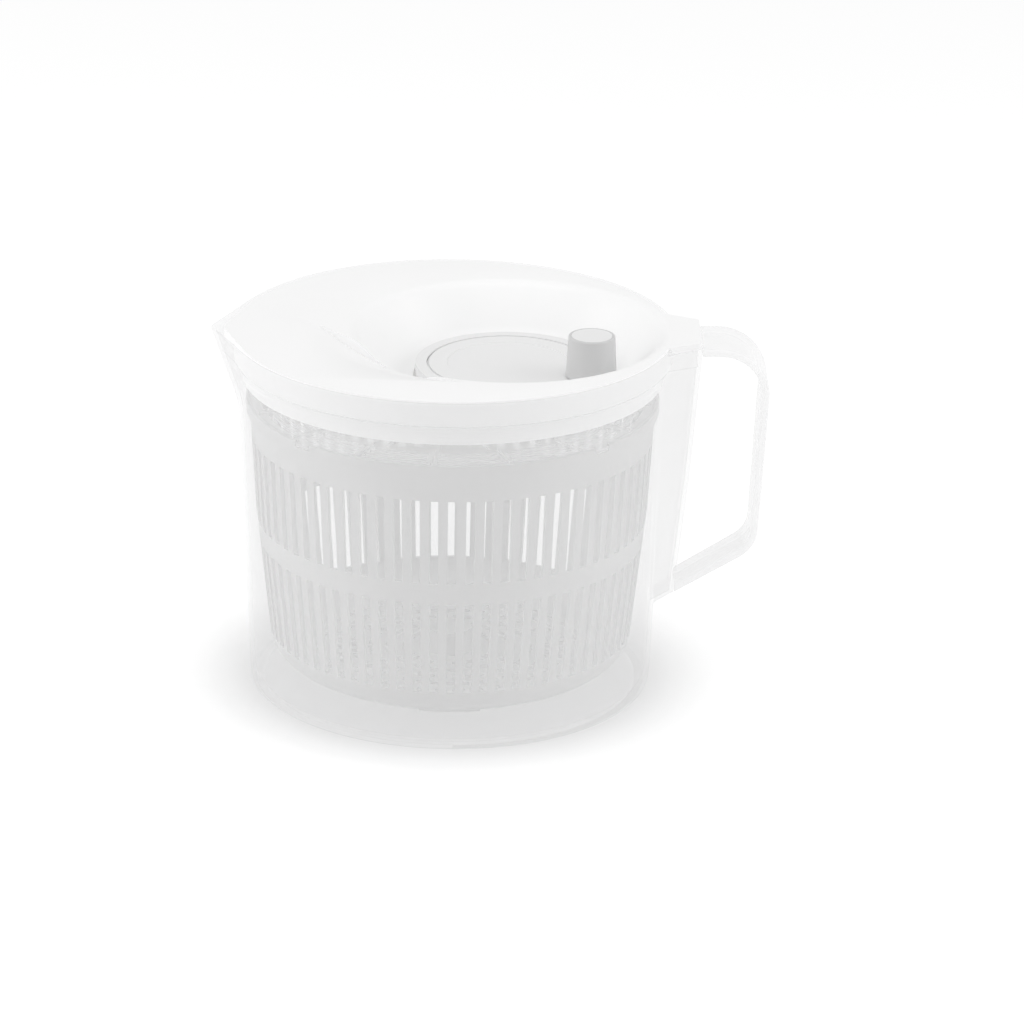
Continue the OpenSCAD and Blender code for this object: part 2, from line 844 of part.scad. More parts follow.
// Disc, ear and skirt of the crank, without its hub
module crank_shell() {
    difference() {
        union() {
            translate([0, 0, web_z])
                cylinder(h = crank_top_z - web_z, r = crank_r);
            translate([knob_arm, 0, web_z])
                cylinder(h = crank_top_z - web_z, r = ear_r);
            translate([0, 0, web_z])
                linear_extrude(crank_top_z - web_z)
                    polygon([[0, crank_r - 7], [knob_arm, ear_r - 0.3],
                        [knob_arm, 0.3 - ear_r], [0, 7 - crank_r]]);
            translate([0, 0, crank_skirt_z])
                cylinder(h = web_z - crank_skirt_z + 1, r = crank_r - 0.2);
        }
        translate([0, 0, crank_skirt_z - 1])
            cylinder(h = web_z - crank_skirt_z + 1, r = ring_out_r);
    }
}

module crank_plate() {
    color([0.82, 0.82, 0.82])
        at_crank()
            difference() {
                union() {
                    crank_shell();
                    translate([0, 0, gear_z])
                        cylinder(h = web_z - gear_z + 0.5, r = crank_hub_r);
                }
                translate([0, 0, crank_top_z - insert_t])
                    cylinder(h = knob_h, r = insert_r);
                translate([0, 0, gear_z - 1])
                    cylinder(h = post_top_z - gear_z + 1, r = post_r + bearing_gap);
                translate([0, 0, post_top_z - eps])
                    cylinder(h = knob_h, r = washer_r + gap);
                translate([knob_arm, 0, web_z - 1])
                    cylinder(h = knob_h, r = knob_pin_r);
            }
}

module crank_washer() {
    color("silver")
        translate([crank_x, 0, post_top_z])
            linear_extrude(washer_t)
                ring(axle_r, washer_r);
}

module crank_screw() {
    color("silver")
        translate([crank_x, 0, post_top_z + washer_t])
            mirror([0, 0, 1])
                pan_screw(axle_head_r, axle_head_h, axle_r, axle_len);
}

module crank_insert() {
    color([0.8, 0.8, 0.8])
        translate([crank_x, 0, crank_top_z - insert_t])
            difference() {
                union() {
                    cylinder(h = insert_t - insert_rim_h, r = insert_r - gap);
                    cylinder(h = insert_t, r = insert_r - insert_rim_w);
                }
                translate([0, 0, insert_t - insert_step])
                    cylinder(h = insert_t, r = insert_step_r);
            }
}

module knob_pin() {
    color("silver")
        at_knob()
            difference() {
                translate([0, 0, web_z])
                    cylinder(h = knob_top_z - knob_recess_h + gap - web_z, r = knob_pin_r);
                translate([0, 0, knob_top_z - knob_recess_h - knob_screw_len])
                    cylinder(h = 2 * knob_h, r = screw_shank_r);
            }
}

module knob() {
    color([0.62, 0.62, 0.62])
        at_knob()
            difference() {
                rotate_extrude()
                    polygon(concat(
                        [[0, knob_z], [knob_foot_r - 0.4, knob_z], [knob_foot_r, knob_z + 0.4]],
                        arc([knob_top_r - 0.8, knob_top_z - 0.8], 0.8, 0, 90, 4),
                        [[0, knob_top_z]]
                    ));
                translate([0, 0, knob_z - 1])
                    cylinder(h = knob_h, r = knob_pin_r + bearing_gap);
                translate([0, 0, knob_top_z - knob_recess_h])
                    cylinder(h = knob_h, r = knob_recess_r);
            }
}

module knob_washer() {
    color("silver")
        at_knob()
            translate([0, 0, knob_top_z - knob_recess_h + gap])
                linear_extrude(washer_t)
                    ring(screw_shank_r, knob_washer_r);
}

module knob_screw() {
    color("silver")
        at_knob()
            translate([0, 0, knob_top_z - knob_recess_h + gap + washer_t])
                mirror([0, 0, 1])
                    pan_screw(screw_head_r, screw_head_h, screw_shank_r, knob_screw_len);
}

module knob_cap() {
    color([0.7, 0.7, 0.7])
        at_knob()
            translate([0, 0, knob_top_z - cap_t])
                cylinder(h = cap_t, r = knob_recess_r);
}

jug();
handle();
pivot_pin();
pivot_cup();
basket();
basket_cover();
lid_top();
lid_base();
lid_screws();
shaft_bush();
drive_shaft();
pinion();
pinion_screw();
ring_gear();
crank_plate();
crank_washer();
crank_screw();
crank_insert();
knob_pin();
knob();
knob_washer();
knob_screw();
knob_cap();
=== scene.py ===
import json
import math
import bmesh
import bpy
from mathutils import Matrix, Vector


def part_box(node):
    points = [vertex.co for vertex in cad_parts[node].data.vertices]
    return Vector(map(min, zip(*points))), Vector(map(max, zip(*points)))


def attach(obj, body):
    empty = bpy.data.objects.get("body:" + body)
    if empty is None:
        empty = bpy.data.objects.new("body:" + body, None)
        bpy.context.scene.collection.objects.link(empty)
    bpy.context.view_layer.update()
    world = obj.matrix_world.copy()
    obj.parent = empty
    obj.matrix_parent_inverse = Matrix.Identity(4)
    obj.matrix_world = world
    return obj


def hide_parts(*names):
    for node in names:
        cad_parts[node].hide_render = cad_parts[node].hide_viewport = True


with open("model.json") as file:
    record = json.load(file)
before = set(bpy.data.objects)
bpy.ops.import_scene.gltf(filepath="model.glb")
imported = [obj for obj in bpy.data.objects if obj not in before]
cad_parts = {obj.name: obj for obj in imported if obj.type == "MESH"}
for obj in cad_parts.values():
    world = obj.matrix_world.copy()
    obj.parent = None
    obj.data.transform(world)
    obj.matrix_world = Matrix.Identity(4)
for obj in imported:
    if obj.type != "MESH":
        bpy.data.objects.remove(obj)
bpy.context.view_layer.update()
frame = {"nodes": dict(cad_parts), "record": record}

MERGE = 0.00001         # vertices closer together than this are one
FINE_MERGE = 0.000002   # the same on the jug, whose lip has small steps
RING_MERGE = 0.00002    # the same where the basket's bays meet
BODY_OF = {node: body for body, nodes in frame["record"]["behaviour"]["bodies"].items() for node in nodes}
SLOT_OF = {entry["node"]: entry["material_slot"] for entry in frame["record"]["subparts"]}


# ---------------------------------------------------------------- node helpers

def new_group(name, inputs, outputs):
    group = bpy.data.node_groups.new(name, "ShaderNodeTree")
    for label, kind, value in inputs:
        sock = group.interface.new_socket(label, in_out="INPUT", socket_type=kind)
        sock.default_value = value
    for label, kind in outputs:
        group.interface.new_socket(label, in_out="OUTPUT", socket_type=kind)
    enter = group.nodes.new("NodeGroupInput")
    leave = group.nodes.new("NodeGroupOutput")
    return group, enter, leave


def put(tree, kind, links=(), **values):
    """Adds a node, sets its properties and sockets by name, and links the given sockets."""
    node = tree.nodes.new(kind)
    for key, value in values.items():
        if hasattr(node, key):
            setattr(node, key, value)
        else:
            node.inputs[key.replace("_", " ")].default_value = value
    for socket, source in links:
        tree.links.new(source, node.inputs[socket])
    return node


def reckon(tree, operation, *terms):
    """Adds a Math node on two terms, each a socket or a number, and gives its result."""
    node = put(tree, "ShaderNodeMath", operation=operation)
    for place, term in enumerate(terms):
        if isinstance(term, bpy.types.NodeSocket):
            tree.links.new(term, node.inputs[place])
        else:
            node.inputs[place].default_value = term
    return node.outputs[0]


# ---------------------------------------------------------------- finishes

PATCH_SCALE = 22.0      # soft patches of shade, about 45 mm across
GRAIN_SCALE = 900.0     # fine grain, about 1 mm across
GRAIN_DEPTH = 0.0002
ROUGHNESS_SWING = 0.16  # how much of the patches reaches the roughness


def moulded_skin():
    """Faint unevenness of an injection-moulded wall: shade, roughness and a shallow relief."""
    group, enter, leave = new_group(
        "moulded_skin",
        [("Shade", "NodeSocketColor", (0.9, 0.9, 0.9, 1)), ("Variation", "NodeSocketFloat", 0.03),
         ("Roughness", "NodeSocketFloat", 0.4), ("Grain", "NodeSocketFloat", 0.02)],
        [("Color", "NodeSocketColor"), ("Roughness", "NodeSocketFloat"), ("Normal", "NodeSocketVector")])
    place = put(group, "ShaderNodeTexCoord").outputs["Object"]
    patches = put(group, "ShaderNodeTexNoise", [("Vector", place)], Scale=PATCH_SCALE, Detail=3.0)
    grain = put(group, "ShaderNodeTexNoise", [("Vector", place)], Scale=GRAIN_SCALE, Detail=2.0)
    swing = reckon(group, "SUBTRACT", patches.outputs["Fac"], 0.5)
    gain = reckon(group, "ADD", reckon(group, "MULTIPLY", swing, enter.outputs["Variation"]), 1.0)
    gain_shade = put(group, "ShaderNodeCombineColor", [(0, gain), (1, gain), (2, gain)])
    shade = put(group, "ShaderNodeMix", data_type="RGBA", blend_type="MULTIPLY")
    shade.inputs["Factor"].default_value = 1.0
    group.links.new(enter.outputs["Shade"], shade.inputs[6])
    group.links.new(gain_shade.outputs[0], shade.inputs[7])
    rough_swing = reckon(group, "MULTIPLY", swing, ROUGHNESS_SWING)
    rough = reckon(group, "ADD", enter.outputs["Roughness"], rough_swing)
    relief = put(group, "ShaderNodeBump",
                 [("Height", grain.outputs["Fac"]), ("Strength", enter.outputs["Grain"])],
                 Distance=GRAIN_DEPTH)
    group.links.new(shade.outputs[2], leave.inputs["Color"])
    group.links.new(rough, leave.inputs["Roughness"])
    group.links.new(relief.outputs[0], leave.inputs["Normal"])
    return group


SKIN = moulded_skin()


def plastic(name, shade, roughness, variation=0.03, grain=0.12, metallic=0.0):
    """A plastic with the moulded skin; steel takes the skin too, as a slight unevenness."""
    material = bpy.data.materials.new(name)
    material.use_nodes = True
    tree = material.node_tree
    shader = tree.nodes["Principled BSDF"]
    shader.inputs["Metallic"].default_value = metallic
    skin = tree.nodes.new("ShaderNodeGroup")
    skin.node_tree = SKIN
    skin.inputs["Shade"].default_value = (*shade, 1)
    skin.inputs["Variation"].default_value = variation
    skin.inputs["Roughness"].default_value = roughness
    skin.inputs["Grain"].default_value = grain
    tree.links.new(skin.outputs["Color"], shader.inputs["Base Color"])
    tree.links.new(skin.outputs["Roughness"], shader.inputs["Roughness"])
    tree.links.new(skin.outputs["Normal"], shader.inputs["Normal"])
    return material


def thin_wall(material, facing, edge, lit, blend=0.35):
    """How closed a thin plastic wall is: seen straight on, seen edge-on, and to the light that fills it."""
    tree = material.node_tree
    weight = put(tree, "ShaderNodeLayerWeight", Blend=blend)
    seen = put(tree, "ShaderNodeMapRange", [("Value", weight.outputs["Facing"])])
    seen.inputs["To Min"].default_value = facing
    seen.inputs["To Max"].default_value = edge
    path = put(tree, "ShaderNodeLightPath")
    cover = put(tree, "ShaderNodeMix",
                [("Factor", path.outputs["Is Camera Ray"]), ("B", seen.outputs["Result"])])
    cover.inputs["A"].default_value = lit
    tree.links.new(cover.outputs["Result"], tree.nodes["Principled BSDF"].inputs["Alpha"])
    return material


MATERIALS = {
    "jug_plastic": thin_wall(
        plastic("clear_jug_plastic", (0.78, 0.78, 0.785), roughness=0.16, variation=0.02, grain=0.03),
        facing=0.12, edge=0.24, lit=0.05),
    "basket_plastic": thin_wall(
        plastic("milky_basket_plastic", (0.735, 0.735, 0.735), roughness=0.35),
        facing=0.88, edge=0.50, lit=0.05, blend=0.5),
    "lid_plastic": thin_wall(
        plastic("white_lid_plastic", (0.97, 0.97, 0.97), roughness=0.34, variation=0.015),
        facing=1.0, edge=1.0, lit=0.3),
    "bearing_plastic": plastic("natural_bearing_plastic", (0.86, 0.86, 0.84), roughness=0.35),
    "crank_plastic": plastic("light_grey_crank_plastic", (0.84, 0.84, 0.84), roughness=0.45),
    "knob_plastic": plastic("grey_knob_plastic", (0.63, 0.63, 0.63), roughness=0.45),
    "knob_cap_plastic": plastic("grey_cap_plastic", (0.83, 0.83, 0.83), roughness=0.4),
    "steel": plastic("stainless_steel", (0.62, 0.62, 0.61), roughness=0.25, metallic=1.0),
}
STRAP = thin_wall(
    plastic("clear_strap_plastic", (0.88, 0.88, 0.885), roughness=0.24, variation=0.02, grain=0.03),
    facing=0.24, edge=0.40, lit=0.1)
# The slotted cover is the basket's plastic in a lighter shade. This is painted light, standing in for the
# light that doesn't reach under the lid.
COVER_PAINTED_LIGHTER = thin_wall(
    plastic("clear_cover_plastic_painted_lighter", (0.86, 0.86, 0.86), roughness=0.35),
    facing=0.50, edge=0.30, lit=0.03, blend=0.5)

for name, part in frame["nodes"].items():
    part.data.materials.clear()
    part.data.materials.append(MATERIALS[SLOT_OF[name]])


# ---------------------------------------------------------------- pieces

def keep_form(form, name, node, material=None, sharp=35.0):
    """Turns a bmesh into the piece that stands for a CAD node, sharp at edges of more than sharp degrees."""
    for face in form.faces:
        face.smooth = True
    for edge in form.edges:
        edge.smooth = len(edge.link_faces) == 2 and edge.calc_face_angle(0.0) < math.radians(sharp)
    mesh = bpy.data.meshes.new(name)
    form.to_mesh(mesh)
    form.free()
    piece = bpy.data.objects.new(name, mesh)
    bpy.context.scene.collection.objects.link(piece)
    mesh.materials.append(material or MATERIALS[SLOT_OF[node]])
    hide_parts(node)
    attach(piece, BODY_OF[node])
    return piece


def round_edges(piece, width, segments, angle):
    bevel = piece.modifiers.new("edge_radius", "BEVEL")
    bevel.width = width
    bevel.segments = segments
    bevel.limit_method = "ANGLE"
    bevel.angle_limit = math.radians(angle)
    bevel.harden_normals = True
    bevel.use_clamp_overlap = True


def moulded(node, name, radius, material=None, segments=2, angle=35.0):
    """The CAD node's own form, merged, with its corners rounded as a mould leaves them."""
    form = bmesh.new()
    form.from_mesh(frame["nodes"][node].data)
    bmesh.ops.remove_doubles(form, verts=form.verts, dist=MERGE)
    bmesh.ops.dissolve_limit(form, angle_limit=math.radians(0.5), verts=form.verts, edges=form.edges)
    piece = keep_form(form, name, node, material, angle)
    if radius:
        round_edges(piece, radius, segments, angle)


# ---------------------------------------------------------------- outlines

def arc(cx, cz, r, first, last, steps):
    return [(cx + r * math.cos(math.radians(first + (last - first) * i / steps)),
             cz + r * math.sin(math.radians(first + (last - first) * i / steps))) for i in range(steps + 1)]


def ramp(x, points):
    """Straight lines through (x, value) points, held flat beyond the ends."""
    if x <= points[0][0]:
        return points[0][1]
    for (x0, y0), (x1, y1) in zip(points, points[1:]):
        if x <= x1:
            return y0 + (y1 - y0) * (x - x0) / (x1 - x0)
    return points[-1][1]


def soft_max(a, b, k):
    """The larger of two lengths, with a blend where they differ by less than k."""
    h = max(k - abs(a - b), 0.0) / k
    return max(a, b) + h * h * k / 4


def soft_min(a, b, k):
    return -soft_max(-a, -b, k)


# ---------------------------------------------------------------- jug

JUG_LOW, JUG_HIGH = (Vector(v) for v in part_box("jug"))
RIM_R = JUG_HIGH.y
RIM_Z = JUG_HIGH.z
LEDGE_Z = RIM_Z - 0.0125        # where the collar begins, on top of the wall
WALL = 0.002
FLOOR = 0.0035
BASE_R = RIM_R - 0.0099
WALL_TOP_R = RIM_R - 0.0034
BASE_EDGE_R = 0.003
FLOOR_FILLET = 0.005
PAD_R = 0.026                   # flat middle of the underside
FOOT_RECESS = 0.0012
FOOT_RING_W = 0.007
FOOT_SLOPE_W = 0.001
BOSS_R = 0.009                  # boss that holds the pivot pin
BOSS_H = 0.0055
BOSS_EDGE = 0.0005
PIN_R = 0.003
PIN_FLOOR = 0.0015
SHOULDER_H = 0.0051             # swell of the wall below the collar
SHOULDER_OUT = 0.0026
LIP_R = 0.0008
LIP_INNER_R = 0.0006
COLLAR_DRAFT = 0.0003           # how far the collar's inside stands in from its wall
COLLAR_STEPS = 4
SHOULDER_STEPS = 6

# Heights in millimetres, close together where the foot of the column grows from the wall
OUTER_LEVELS = (*range(8, 36, 7), 38, *range(40, 50), 51, *range(55, 160, 5))
INNER_LEVELS = (166, 163, *range(160, 54, -5), *range(52, 41, -1), 40, 36, 30, 22, 14)

# Column at the right: (height, distance of its face from the axis) and (height, half its width)
COLUMN_X = JUG_HIGH.x
COLUMN_FOOT_Z = 0.0418
COLUMN_EDGE_Z = 0.0481
COLUMN_MID_Z = 0.110
COLUMN_TOP_Z = RIM_Z - 0.0033
COLUMN_FACE = [(COLUMN_FOOT_Z, 0.1001), (COLUMN_EDGE_Z, COLUMN_X - 0.0105),
               (COLUMN_MID_Z, COLUMN_X - 0.0045), (COLUMN_TOP_Z, COLUMN_X)]
COLUMN_HALF = [(COLUMN_EDGE_Z, 0.0110), (COLUMN_MID_Z, 0.0137), (COLUMN_TOP_Z, 0.0200)]
COLUMN_SPREAD = 0.45            # how far its sides widen towards the wall
COLUMN_TURN = 0.7               # cosine below which a direction misses the column
COLUMN_EDGE_BLEND = 0.003
ROOT_BLEND = 0.0015             # blend of column and spout into the wall
TAB_ANGLE = math.radians(14.9)  # half the stretch of collar that is lowered under the lid's tab

# Spout at the left: a hull of three discs at the rim, drawn in to one disc at its foot
SPOUT_TIP_R = 0.0085
SPOUT_ROOT_R = 0.004
SPOUT_ROOT_TURN = 23            # degrees from the spout's middle to where it leaves the collar
SPOUT_TURN = -0.8               # cosine above which a direction misses the spout
SPOUT_FOOT_R = 0.012
SPOUT_FOOT_Z = RIM_Z - 0.039
SPOUT_DISCS = [(JUG_LOW.x + SPOUT_TIP_R, 0.0, SPOUT_TIP_R)] + [
    ((RIM_R - SPOUT_ROOT_R) * math.cos(math.radians(180 + turn)),
     (RIM_R - SPOUT_ROOT_R) * math.sin(math.radians(180 + turn)), SPOUT_ROOT_R)
    for turn in (-SPOUT_ROOT_TURN, SPOUT_ROOT_TURN)]

# Below this height and inside this radius the jug keeps its turned form
GRIP_Z = 0.0405
GRIP_R = 0.09

# Between these heights, this depth of the wall is drawn out as far as its outer face
COLLAR_ZONE = (LEDGE_Z - 0.0052, LEDGE_Z + 0.011)
OUTER_SKIN = 0.0012

# (degrees, steps) round the jug, finest at column and spout
SECTORS = [(20, 60), (130, 130), (60, 90), (130, 130), (20, 60)]


def wall_radius(z):
    return BASE_R + (WALL_TOP_R - BASE_R) * z / LEDGE_Z


def wall_points(levels, inset):
    """Points of the wall at heights in millimetres, inset from its outside."""
    return [(wall_radius(z / 1000) - inset, z / 1000) for z in levels]


def outside_radius(z):
    """Radius of the jug's outside without column and spout."""
    if z > LEDGE_Z + 0.001:
        return RIM_R
    return wall_radius(z) + max(0.0, min(SHOULDER_OUT, (z - LEDGE_Z + SHOULDER_H) / 2))


def column_radius(angle, z, shrink):
    """Distance from the jug's axis to the column's outside, in the direction of angle."""
    if z < COLUMN_FOOT_Z + shrink or math.cos(angle) < COLUMN_TURN:
        return 0.0
    face = ramp(z, COLUMN_FACE) - shrink
    half = ramp(z, COLUMN_HALF) - shrink
    front = face / math.cos(angle)
    side = (half + COLUMN_SPREAD * face) / (abs(math.sin(angle)) + COLUMN_SPREAD * math.cos(angle))
    return soft_min(front, side, COLUMN_EDGE_BLEND)


def spout_radius(angle, z, shrink):
    """Distance from the jug's axis to the spout's outside, in the direction of angle."""
    share = (z - SPOUT_FOOT_Z) / (RIM_Z - SPOUT_FOOT_Z)
    if share <= 0.0 or math.cos(angle) > SPOUT_TURN:
        return 0.0
    foot_x = SPOUT_FOOT_R - wall_radius(SPOUT_FOOT_Z)
    best = 1.0
    for degrees in range(-60, 61):
        normal = math.pi + math.radians(degrees)
        lean = math.cos(angle - normal)
        if lean <= 0.2:
            continue
        nx, ny = math.cos(normal), math.sin(normal)
        top = max(x * nx + y * ny + r for x, y, r in SPOUT_DISCS)
        low = foot_x * nx + SPOUT_FOOT_R
        best = min(best, (share * top + (1 - share) * low - shrink) / lean)
    return best


def jug_profile():
    """Half section of the jug, from the middle of its underside over the lip to the pivot's hole."""
    outer = [(0.0, 0.0), (PAD_R, 0.0), (PAD_R + FOOT_SLOPE_W, FOOT_RECESS),
             (BASE_R - FOOT_RING_W - FOOT_SLOPE_W, FOOT_RECESS), (BASE_R - FOOT_RING_W, 0.0)]
    outer += arc(BASE_R - BASE_EDGE_R, BASE_EDGE_R, BASE_EDGE_R, -90, 0, 5)
    outer += wall_points(OUTER_LEVELS, 0.0)
    shoulder_z = LEDGE_Z - SHOULDER_H
    for i in range(SHOULDER_STEPS + 1):
        swell = SHOULDER_OUT * (1 - math.cos(math.pi * i / SHOULDER_STEPS)) / 2
        outer.append((wall_radius(shoulder_z) + swell,
                      shoulder_z + (LEDGE_Z - shoulder_z) * i / SHOULDER_STEPS))
    for i in range(1, COLLAR_STEPS + 1):
        outer.append((RIM_R - LIP_R + LIP_R * i / COLLAR_STEPS,
                      LEDGE_Z + (RIM_Z - LIP_R - LEDGE_Z) * i / COLLAR_STEPS))
    outer += arc(RIM_R - LIP_R, RIM_Z - LIP_R, LIP_R, 20, 90, 3)

    inner = arc(RIM_R - WALL + LIP_R, RIM_Z - LIP_INNER_R, LIP_INNER_R, 90, 180, 3)
    inner += [(RIM_R - WALL - COLLAR_DRAFT, LEDGE_Z + (RIM_Z - LEDGE_Z) * i / 5) for i in (4, 3, 2, 1, 0)]
    inner += [(WALL_TOP_R - WALL, LEDGE_Z)]
    inner += wall_points(INNER_LEVELS, WALL)
    inner += arc(wall_radius(FLOOR) - WALL - FLOOR_FILLET, FLOOR + FLOOR_FILLET, FLOOR_FILLET, 0, -90, 5)
    inner += [(0.060, FLOOR), (0.030, FLOOR), (BOSS_R + 0.0025, FLOOR), (BOSS_R + 0.0008, FLOOR + 0.0012),
              (BOSS_R, FLOOR + BOSS_H - BOSS_EDGE), (BOSS_R - BOSS_EDGE, FLOOR + BOSS_H),
              (PIN_R, FLOOR + BOSS_H), (PIN_R, FLOOR + PIN_FLOOR), (0.0, FLOOR + PIN_FLOOR)]
    return outer + inner


def spin_profile(form, points, sectors):
    """Turns a half section about Z in sectors of (degrees, steps)."""
    verts = [form.verts.new((x, 0.0, z)) for x, z in points]
    ring = verts + [form.edges.new(pair) for pair in zip(verts, verts[1:])]
    for degrees, steps in sectors:
        made = bmesh.ops.spin(form, geom=ring, cent=(0, 0, 0), axis=(0, 0, 1), dvec=(0, 0, 0),
                              angle=math.radians(degrees), steps=steps, use_merge=False, use_duplicate=False)
        ring = made["geom_last"]
    bmesh.ops.remove_doubles(form, verts=form.verts, dist=FINE_MERGE)
    bmesh.ops.recalc_face_normals(form, faces=form.faces)


def add_jug():
    """A turned shell, whose wall is then drawn out into column and spout with its thickness kept."""
    form = bmesh.new()
    spin_profile(form, jug_profile(), SECTORS)
    for vert in form.verts:
        r = math.hypot(vert.co.x, vert.co.y)
        z = vert.co.z
        if z < GRIP_Z or r < GRIP_R:
            continue
        angle = math.atan2(vert.co.y, vert.co.x)
        shrink = min(max(outside_radius(z) - r, 0.0), WALL)
        if COLLAR_ZONE[0] < z < COLLAR_ZONE[1] and shrink < OUTER_SKIN:
            shrink = 0.0
        reach = soft_max(r, column_radius(angle, min(z, COLUMN_TOP_Z), shrink), ROOT_BLEND)
        reach = soft_max(reach, spout_radius(angle, z, shrink), ROOT_BLEND)
        if z > COLUMN_TOP_Z and abs(angle) < TAB_ANGLE:
            z = COLUMN_TOP_Z
        vert.co = (reach * math.cos(angle), reach * math.sin(angle), z)
    bmesh.ops.remove_doubles(form, verts=form.verts, dist=FINE_MERGE)
    keep_form(form, "jug_shell", "jug", sharp=32.0)


# ---------------------------------------------------------------- basket

BASKET_LOW, BASKET_HIGH = (Vector(v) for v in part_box("basket"))
BASKET_WALL = 0.0018
SLOTS = 70
SLOT_W = 0.0042
FRONT_SLOT = math.radians(-89.75)
FEET_H = 0.003
CORNER_R = 0.017
CORNER_Z = BASKET_LOW.z + FEET_H + CORNER_R
LOW_R = BASKET_HIGH.x - 0.0113
MID_R = BASKET_HIGH.x - 0.0048
TOP_R = BASKET_HIGH.x - 0.0019
TOP_Z = BASKET_HIGH.z - 0.0055
UPPER_SLOTS = (BASKET_HIGH.z - 0.062, BASKET_HIGH.z - 0.019)
LOWER_SLOTS = (CORNER_Z - 0.002, BASKET_HIGH.z - 0.073)
MID_Z = UPPER_SLOTS[0] + 0.005
RING_Z = (LOWER_SLOTS[0] - 0.0012, UPPER_SLOTS[1] + 0.0012)
SEAM = 0.0003                   # height of the joint between the slotted ring and the rest
WALL_ZONE = 0.006               # faces further in than this from LOW_R stay

# Rows of the ring: the slots' ends, the bends of the wall, and steps between them
WALL_LEVELS = [RING_Z[0], LOWER_SLOTS[0], LOWER_SLOTS[0] + 0.001, CORNER_Z, 0.040, 0.052, 0.063,
               LOWER_SLOTS[1], UPPER_SLOTS[0], MID_Z, 0.103, 0.116, UPPER_SLOTS[1], RING_Z[1]]
SLOT_COLUMNS = (1, 2, 3)        # of the five columns of faces in a bay, those that the slot opens


def basket_radius(z, depth):
    """Radius of the basket's wall at height z, depth below its outer face."""
    if z < CORNER_Z:
        return LOW_R - CORNER_R + math.sqrt((CORNER_R - depth) ** 2 - (CORNER_Z - z) ** 2)
    return ramp(z, [(CORNER_Z, LOW_R), (MID_Z, MID_R), (TOP_Z, TOP_R)]) - depth


def slot_bay(form):
    """One bay of the wall's outer face: a slot between two half bars."""
    bmesh.ops.create_grid(form, x_segments=5, y_segments=len(WALL_LEVELS) - 1, size=1.0)
    levels = sorted({round(v.co.y, 4) for v in form.verts})
    columns = sorted({round(v.co.x, 4) for v in form.verts})
    place = {v: (columns.index(round(v.co.x, 4)), levels.index(round(v.co.y, 4))) for v in form.verts}
    opened = []
    for face in form.faces:
        column = min(place[v][0] for v in face.verts)
        row = min(place[v][1] for v in face.verts)
        z = (WALL_LEVELS[row] + WALL_LEVELS[row + 1]) / 2
        if column in SLOT_COLUMNS and any(low < z < high for low, high in (LOWER_SLOTS, UPPER_SLOTS)):
            opened.append(face)
    half_bay = math.pi / SLOTS
    for vert, (column, row) in place.items():
        z = WALL_LEVELS[row]
        r = basket_radius(z, 0.0)
        half_slot = math.asin(SLOT_W / 2 / r)
        turns = (-half_bay, -half_slot, -half_slot / 3, half_slot / 3, half_slot, half_bay)
        angle = FRONT_SLOT + turns[column]
        vert.co = (r * math.cos(angle), r * math.sin(angle), z)
    bmesh.ops.delete(form, geom=opened, context="FACES")


def slotted_ring(form):
    """The slotted wall: the bay repeated round the axis, given its thickness, and left open at both ends."""
    slot_bay(form)
    bay = [g for g in form.verts[:] + form.edges[:] + form.faces[:] if g.is_valid]
    bmesh.ops.spin(form, geom=bay, cent=(0, 0, 0), axis=(0, 0, 1), dvec=(0, 0, 0),
                   angle=2 * math.pi, steps=SLOTS, use_merge=False, use_duplicate=True)
    bmesh.ops.remove_doubles(form, verts=form.verts, dist=RING_MERGE)
    bmesh.ops.recalc_face_normals(form, faces=form.faces)
    outward = sum(f.normal.xy.dot(f.calc_center_median().xy) for f in form.faces)
    if outward < 0:
        bmesh.ops.reverse_faces(form, faces=form.faces)
    grown = bmesh.ops.extrude_face_region(form, geom=form.faces[:], use_keep_orig=True)
    for vert in (g for g in grown["geom"] if isinstance(g, bmesh.types.BMVert)):
        angle = math.atan2(vert.co.y, vert.co.x)
        inner = basket_radius(vert.co.z, BASKET_WALL)
        vert.co = (inner * math.cos(angle), inner * math.sin(angle), vert.co.z)
    ends = [f for f in form.faces if any(all(abs(v.co.z - end) < 1e-6 for v in f.verts) for end in RING_Z)]
    bmesh.ops.delete(form, geom=ends, context="FACES_ONLY")
    bmesh.ops.recalc_face_normals(form, faces=form.faces)


def add_basket():
    """The CAD node's rim, floor, hub and feet, with the slotted ring joined in for its wall."""
    form = bmesh.new()
    form.from_mesh(frame["nodes"]["basket"].data)
    bmesh.ops.remove_doubles(form, verts=form.verts, dist=MERGE)
    low_cut, high_cut = RING_Z[0] - SEAM, RING_Z[1] + SEAM
    for level in (low_cut, high_cut):
        bmesh.ops.bisect_plane(form, geom=form.verts[:] + form.edges[:] + form.faces[:], dist=1e-7,
                               plane_co=(0, 0, level), plane_no=(0, 0, 1))
    between = [f for f in form.faces if low_cut < f.calc_center_median().z < high_cut
               and f.calc_center_median().xy.length > LOW_R - WALL_ZONE]
    bmesh.ops.delete(form, geom=between, context="FACES")
    ring = bmesh.new()
    slotted_ring(ring)
    mesh = bpy.data.meshes.new("slotted_ring")
    ring.to_mesh(mesh)
    ring.free()
    form.from_mesh(mesh)
    bpy.data.meshes.remove(mesh)
    for low, high in ((low_cut, RING_Z[0]), (RING_Z[1], high_cut)):
        for depth in (0.0, BASKET_WALL):
            want = basket_radius((low + high) / 2, depth)
            loops = [e for e in form.edges if e.is_boundary and all(
                low - 1e-5 < v.co.z < high + 1e-5 and abs(v.co.xy.length - want) < 0.0006 for v in e.verts)]
            bmesh.ops.bridge_loops(form, edges=loops)
    bmesh.ops.recalc_face_normals(form, faces=form.faces)
    keep_form(form, "slotted_basket", "basket")


# ---------------------------------------------------------------- all pieces that replace a CAD node

